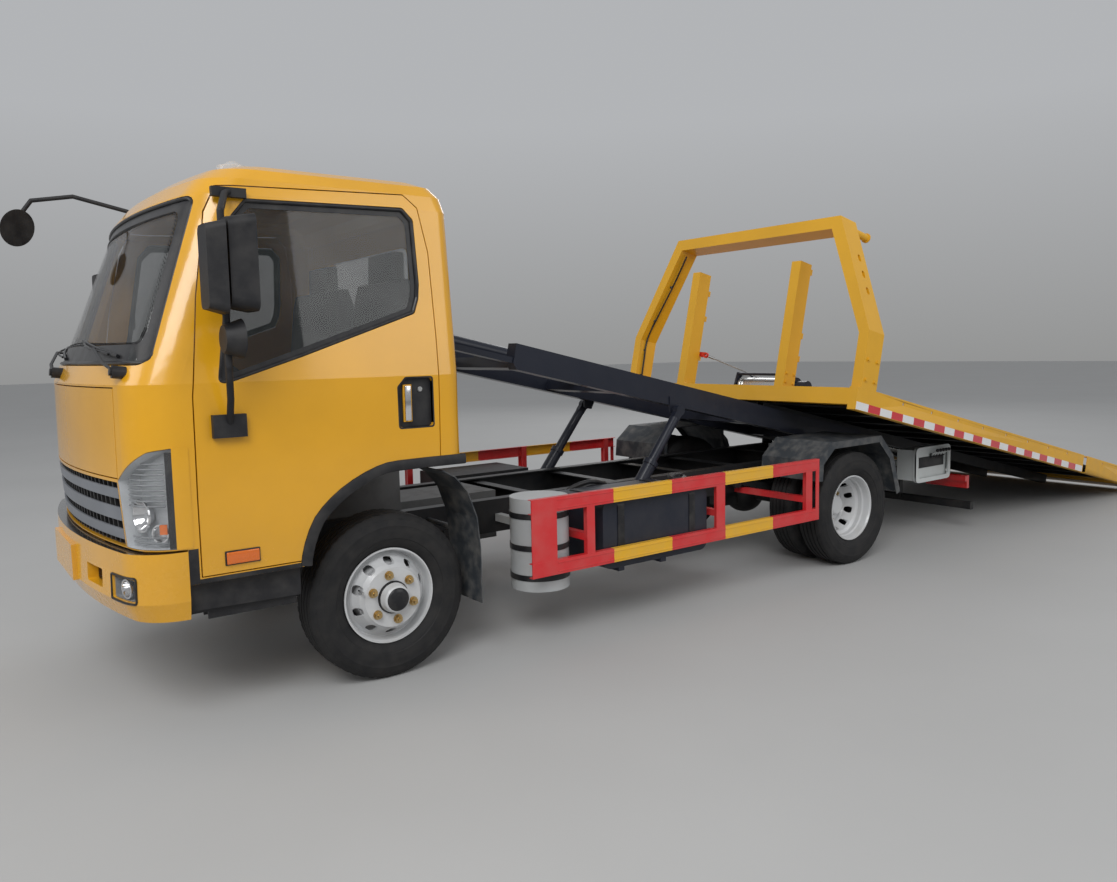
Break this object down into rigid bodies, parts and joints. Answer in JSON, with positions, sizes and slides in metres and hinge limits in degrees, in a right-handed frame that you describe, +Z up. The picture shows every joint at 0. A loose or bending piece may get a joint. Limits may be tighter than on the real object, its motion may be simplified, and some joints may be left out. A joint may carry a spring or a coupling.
{
  "type": "flatbed tow truck",
  "caption": "Cab-over flatbed tow truck with a tilt and slide bed, headboard frame, winch, side guards and twin rear wheels, bed slid back and tilted to the ground.",
  "frame": {"origin": "on the ground below the middle of the bounding box", "axes": "+X towards the front of the truck, +Y to its left side, +Z up"},
  "size_m": [8.9924, 2.364, 2.3329],
  "materials": {
    "cab_paint": "gloss golden yellow",
    "bed_paint": "gloss yellow, worn",
    "cab_glass": "tinted",
    "dark_plastic": "black, grained",
    "grey_plastic": "light grey",
    "lamp_lens": "clear",
    "seat_fabric": "dark woven",
    "cast_iron": "cast",
    "tyre": "black rubber",
    "wheel_silver": "silver paint",
    "chassis_paint": "black",
    "tilt_paint": "blue-black",
    "guard_paint": "red and yellow bands",
    "tank_aluminium": "brushed",
    "bright_steel": "bright",
    "hook_paint": "red"
  },
  "bodies": {
    "root": {"battery_box": "dark_plastic", "chassis_frame": "chassis_paint", "control_box": "grey_plastic", "engine_block": "cast_iron", "front_axle": "chassis_paint", "fuel_tank": "tank_aluminium", "leaf_springs": "chassis_paint", "mudguards": "dark_plastic", "reagent_tank": "dark_plastic", "rear_axle": "chassis_paint", "side_guards": "guard_paint", "tail_lamps": "lamp_lens", "underrun_bar": "chassis_paint"},
    "cab": {"cab_shell": "cab_paint", "cab_glass": "cab_glass", "grille": "dark_plastic", "grille_bars": "grey_plastic", "front_lamps": "lamp_lens", "bumper": "cab_paint", "cab_steps": "dark_plastic", "dashboard": "dark_plastic", "steering_wheel": "dark_plastic", "seats": "seat_fabric", "roof_lamp": "lamp_lens", "front_mirror": "dark_plastic"},
    "door_left": {"door_left": "cab_paint", "door_glass_left": "cab_glass", "door_mirror_left": "dark_plastic"},
    "door_right": {"door_right": "cab_paint", "door_glass_right": "cab_glass", "door_mirror_right": "dark_plastic"},
    "front_lid": {"front_lid": "cab_paint"},
    "knuckle_left": {"knuckle_left": "chassis_paint"},
    "knuckle_right": {"knuckle_right": "chassis_paint"},
    "tie_rod": {"tie_rod": "chassis_paint"},
    "front_wheel_left": {"front_rim_left": "wheel_silver", "front_tyre_left": "tyre"},
    "front_wheel_right": {"front_rim_right": "wheel_silver", "front_tyre_right": "tyre"},
    "rear_wheels_left": {"rear_rims_left": "wheel_silver", "rear_tyres_left": "tyre"},
    "rear_wheels_right": {"rear_rims_right": "wheel_silver", "rear_tyres_right": "tyre"},
    "tilt_frame": {"tilt_frame": "tilt_paint", "slide_barrel": "tilt_paint"},
    "tilt_barrels": {"tilt_barrels": "tilt_paint"},
    "tilt_rams": {"tilt_rams": "bright_steel"},
    "bed": {"deck_frame": "bed_paint", "deck_floor": "bed_paint", "deck_tail": "bed_paint", "headboard": "bed_paint", "slide_rod": "bright_steel", "winch_frame": "tilt_paint", "winch_hook": "hook_paint", "winch_rope": "bright_steel"},
    "winch_drum": {"winch_drum": "bright_steel"}
  },
  "joints": [
    {"name": "cab_tilt", "type": "hinge", "parent": "root", "child": "cab", "pos_m": [4.14319, 0, 0.56], "axis": [0, 1, 0], "range_deg": [0, 45]},
    {"name": "door_left_hinge", "type": "hinge", "parent": "cab", "child": "door_left", "pos_m": [4.09119, 0.951, 1.3], "axis": [0, 0, -1], "range_deg": [0, 65]},
    {"name": "door_right_hinge", "type": "hinge", "parent": "cab", "child": "door_right", "pos_m": [4.09119, -0.951, 1.3], "axis": [0, 0, 1], "range_deg": [0, 65]},
    {"name": "front_lid_hinge", "type": "hinge", "parent": "cab", "child": "front_lid", "pos_m": [4.39719, 0, 1.362], "axis": [0, -1, 0], "range_deg": [0, 70]},
    {"name": "steer_left", "type": "hinge", "parent": "root", "child": "knuckle_left", "pos_m": [3.26319, 0.672, 0.376], "axis": [0, 0, 1], "range_deg": [-35, 35]},
    {"name": "steer_right", "type": "hinge", "parent": "root", "child": "knuckle_right", "pos_m": [3.26319, -0.672, 0.376], "axis": [0, 0, 1], "range_deg": [-35, 35]},
    {"name": "tie_rod_slide", "type": "slide", "parent": "root", "child": "tie_rod", "axis": [0, 1, 0], "range_m": [-0.085, 0.085]},
    {"name": "front_wheel_left_spin", "type": "hinge", "parent": "knuckle_left", "child": "front_wheel_left", "pos_m": [3.26319, 0.762, 0.376], "axis": [0, 1, 0], "continuous": true},
    {"name": "front_wheel_right_spin", "type": "hinge", "parent": "knuckle_right", "child": "front_wheel_right", "pos_m": [3.26319, -0.762, 0.376], "axis": [0, 1, 0], "continuous": true},
    {"name": "rear_wheels_left_spin", "type": "hinge", "parent": "root", "child": "rear_wheels_left", "pos_m": [-0.03681, 0.75, 0.376], "axis": [0, 1, 0], "continuous": true},
    {"name": "rear_wheels_right_spin", "type": "hinge", "parent": "root", "child": "rear_wheels_right", "pos_m": [-0.03681, -0.75, 0.376], "axis": [0, 1, 0], "continuous": true},
    {"name": "bed_tilt", "type": "hinge", "parent": "root", "child": "tilt_frame", "pos_m": [-0.79281, 0, 0.6], "axis": [0, 1, 0], "range_deg": [0, 12.5]},
    {"name": "bed_slide", "type": "slide", "parent": "tilt_frame", "child": "bed", "axis": [0.9763, 0, 0.2164], "range_m": [0, 2.575]},
    {"name": "tilt_barrels_swing", "type": "hinge", "parent": "root", "child": "tilt_barrels", "pos_m": [1.57319, 0, 0.47], "axis": [0, -1, 0], "range_deg": [0, 28.59]},
    {"name": "tilt_rams_slide", "type": "slide", "parent": "tilt_barrels", "child": "tilt_rams", "axis": [0.6186, 0, -0.7857], "range_m": [0, 0.3125]},
    {"name": "winch_drum_spin", "type": "hinge", "parent": "bed", "child": "winch_drum", "pos_m": [-0.26897, 0, 1.15248], "axis": [0, 1, 0], "continuous": true}
  ],
  "couplings": [
    {"joint": "steer_right", "follows": "steer_left", "ratio": 1},
    {"joint": "tie_rod_slide", "follows": "steer_left", "m_per_rad": -0.12582},
    {"joint": "tilt_barrels_swing", "follows": "bed_tilt", "ratio": 2.2712},
    {"joint": "tilt_rams_slide", "follows": "bed_tilt", "m_per_rad": 1.4276}
  ]
}
